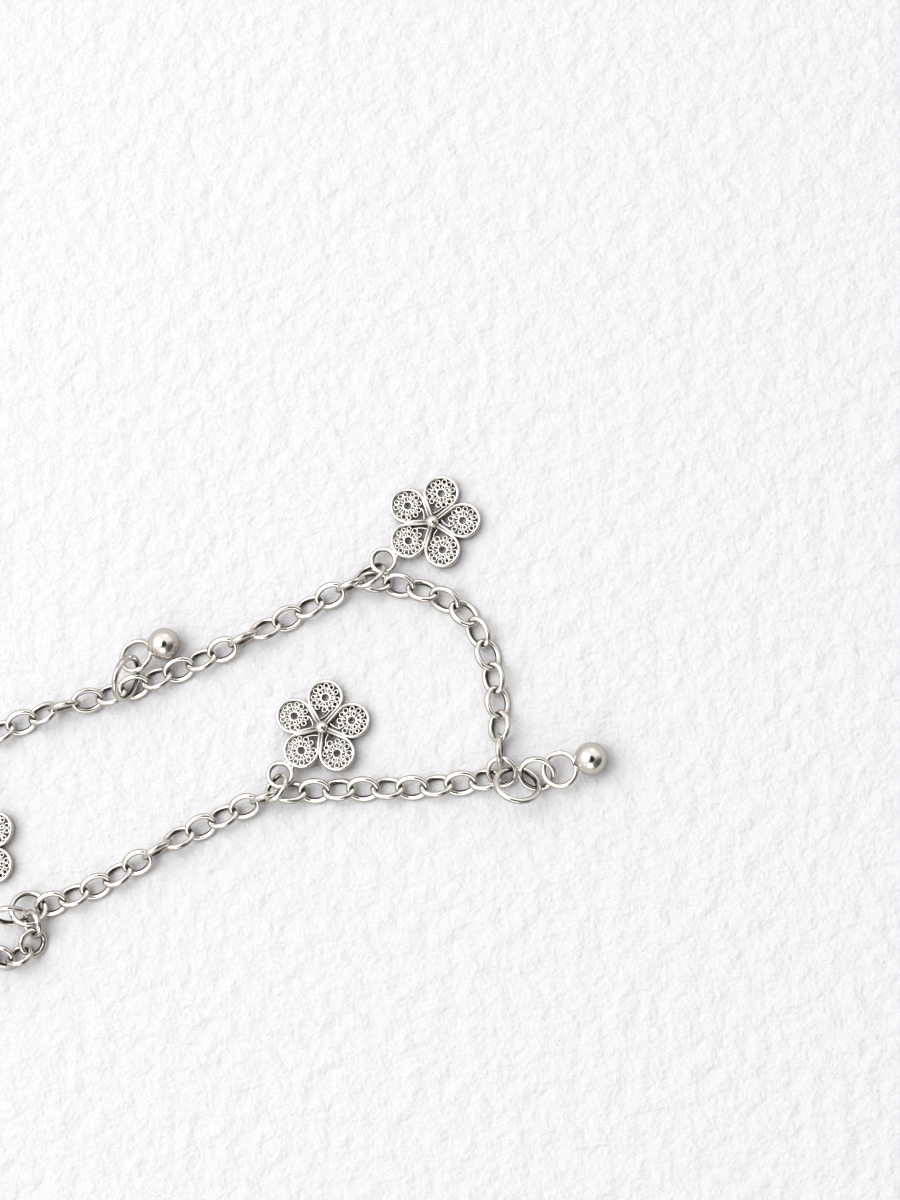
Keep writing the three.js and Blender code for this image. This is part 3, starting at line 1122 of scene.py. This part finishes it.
# %% Mix the three finishes
BRIGHT_SILVER = (0.905, 0.882, 0.85, 1)
WARM_SILVER = (0.90, 0.872, 0.835, 1)

wire_silver = polished_silver(
    "drawn_silver_wire", BRIGHT_SILVER, roughness=0.10, film=1.0, hairlines=0.002
)
ball_silver = polished_silver(
    "buffed_silver_ball", WARM_SILVER, roughness=0.15, film=0.6, hairlines=0.002
)
filigree_silver = polished_silver(
    "filigree_silver", BRIGHT_SILVER, roughness=0.18, film=0.9, hairlines=0.005
)
print("finishes", wire_silver.name, ball_silver.name, filigree_silver.name)

# %% [markdown]
# ## Hand the pieces over to the frame
#
# Each piece rides on the bracelet's one body, stands for the solid it replaces, and
# takes its finish.

# %% Dress the frame


def dress(piece, node, material):
    """A finished piece takes the place of a solid of the frame."""
    piece.data.materials.clear()
    piece.data.materials.append(material)
    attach(piece, "root")
    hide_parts(node)
    print(piece.name, "stands for", node)


dress(chain_upper, "chain_upper", wire_silver)
dress(chain_lower, "chain_lower", wire_silver)
dress(extender_chain, "extender_chain", wire_silver)
dress(clasp, "clasp", wire_silver)
for node, piece in jump_rings.items():
    dress(piece, node, wire_silver)
for node, piece in flowers.items():
    dress(piece, node, filigree_silver)
for node, piece in balls.items():
    dress(piece, node, ball_silver)

# %% [markdown]
# ## The sheet of paper
#
# The bracelet lies on heavy white paper. It is a plain sheet, larger than the view,
# whose tooth is a shallow relief of noise: a coarse one for the sheet and a weak fine
# one for its fibres.
#
# In a studio, black cards round the table keep a white sheet from washing out polished
# metal. Here there are no cards. The sheet is darker to the rays that the silver
# reflects than it is to the eye, which has the same effect and leaves the paper white.

# %% Lay the paper
PAPER = (0.772, 0.776, 0.796, 1)
PAPER_SEEN_BY_SILVER = (0.52, 0.498, 0.47, 1)
PAPER_ROUGHNESS = 0.9
PAPER_TOOTH = {"size": 2.3, "detail": 3.5}
PAPER_FIBRE = {"size": 0.5, "detail": 3.0}
FIBRE_RELIEF = 0.14
PAPER_RELIEF = {"depth": 1.15, "strength": 0.6}
SHEET_SIZE = 4000


def paper():
    """A pale sheet under the bracelet, with the tooth of heavy paper."""
    finish = Finish("pale_paper")
    tooth = finish.noise(**PAPER_TOOTH)
    fibre = finish.noise(**PAPER_FIBRE)
    glossy = finish.add("ShaderNodeLightPath", {}, {}).outputs["Is Glossy Ray"]
    shade = finish.blend(glossy, PAPER, PAPER_SEEN_BY_SILVER)
    finish.feed(finish.shader.inputs["Base Color"], shade)
    finish.shader.inputs["Roughness"].default_value = PAPER_ROUGHNESS
    finish.relief(tooth + FIBRE_RELIEF * fibre, **PAPER_RELIEF)
    deselect()
    bpy.ops.mesh.primitive_plane_add(size=SHEET_SIZE * MM)
    sheet = bpy.context.object
    sheet.name = "paper"
    sheet.data.materials.append(finish.material)


paper()
print("paper", SHEET_SIZE, "mm square")

# %% [markdown]
# ## Light
#
# A large soft box over the left side gives the long highlights and the soft shadows
# that fall to the right. Two weaker ones, at the front and at the back, put a second
# and a third gleam on each ball. Polished metal shows the room as much as itself, and
# lamps in an evenly white room would leave it flat. So the room is lighter overhead,
# darker near the table and darkest towards the lower right, which gives the metal its
# dark edges, and the place that the camera would take up is a dark spot.

# %% Place the lights
LOOK_AT = Vector((26.2, 13.2, 0)) * MM
NEUTRAL = (1.0, 0.995, 0.985)
WARM = (1.0, 0.99, 0.98)


def soft_box(name, way, distance, size, power, tone):
    """A square area light that faces the bracelet from a direction."""
    light = bpy.data.lights.new(name, "AREA")
    light.shape = "SQUARE"
    light.size = size
    light.energy = power
    light.color = tone
    lamp = bpy.data.objects.new(name, light)
    bpy.context.scene.collection.objects.link(lamp)
    back = Vector(way).normalized()
    lamp.location = LOOK_AT + back * distance
    lamp.rotation_euler = back.to_track_quat("Z", "Y").to_euler()


# Distances and sizes are in metres, and powers in watts.
soft_box(
    "key_box", way=(-0.44, 0.10, 0.88), distance=0.8, size=0.75, power=4.6, tone=NEUTRAL
)
soft_box(
    "front_box", way=(0.02, -0.86, 0.5), distance=0.9, size=0.5, power=0.7, tone=WARM
)
soft_box(
    "back_box", way=(0.25, 0.80, 0.55), distance=0.9, size=0.35, power=0.3, tone=WARM
)
print("lights", [light.name for light in bpy.data.lights])

# %% Paint the room
UPRIGHT = (0, 0, 1)
LOWER_RIGHT = (0.80, -0.52, 0.30)
LEAN = Vector((0.1598, -0.1816, 0.9703)).normalized()
ROOM_LOW = (0.58, 0.555, 0.53, 1)
ROOM_HIGH = (0.95, 0.94, 0.925, 1)
ROOM_DARK = (0.10, 0.092, 0.084, 1)
CAMERA_BLACK = (0.005, 0.005, 0.005, 1)

world = bpy.data.worlds.new("room")
world.use_nodes = True
room = Recipe(world.node_tree)
ray = room.add("ShaderNodeTexCoord", {}, {}).outputs["Generated"]


def towards(way, start, end):
    """How far a ray points along a way, from 0 at one cosine to 1 at another."""
    product = {"operation": "DOT_PRODUCT"}
    dot = room.add("ShaderNodeVectorMath", product, {0: ray, 1: way}).outputs["Value"]
    span = {"Value": dot, "From Min": start, "From Max": end}
    node = room.add("ShaderNodeMapRange", {"interpolation_type": "SMOOTHSTEP"}, span)
    return Field(room, node.outputs[0])


overhead = towards(UPRIGHT, start=0.02, end=0.55)
dark_side = towards(LOWER_RIGHT, start=0.58, end=0.98)
camera_spot = towards(LEAN, start=0.86, end=0.955)
dome = room.blend(overhead, ROOM_LOW, ROOM_HIGH)
shaded = room.blend(dark_side, dome, ROOM_DARK)
sky = room.blend(camera_spot, shaded, CAMERA_BLACK)
background = world.node_tree.nodes["Background"]
room.feed(background.inputs["Color"], sky)
background.inputs["Strength"].default_value = 1.0
bpy.context.scene.world = world
bpy.context.scene.view_settings.view_transform = "Standard"
print("room nodes", len(room.nodes))

# %% [markdown]
# ## Camera
#
# The camera looks down from almost overhead, leaning a little to the lower right. The
# bracelet fills the left half of a tall frame and runs out of it on the left.

# %% Place the camera
DISTANCE = 314.8 * MM
LENS = 85
SENSOR_HEIGHT = 36
NEAREST = 0.01

camera = bpy.data.objects.new("camera", bpy.data.cameras.new("camera"))
bpy.context.scene.collection.objects.link(camera)
camera.data.lens = LENS
camera.data.sensor_fit = "VERTICAL"
camera.data.sensor_height = SENSOR_HEIGHT
camera.data.clip_start = NEAREST
right = Vector((0, 1, 0)).cross(LEAN).normalized()
up = LEAN.cross(right)
turn = Matrix((right, up, LEAN)).transposed().to_4x4()
camera.matrix_world = Matrix.Translation(LOOK_AT + LEAN * DISTANCE) @ turn
bpy.context.scene.camera = camera
print("camera at", camera.matrix_world.translation / MM)

# %% [markdown]
# ## Size
#
# The finished bracelet keeps to the box of the solids within about a tenth of a
# millimetre.

# %% Update the scene
bpy.context.view_layer.update()
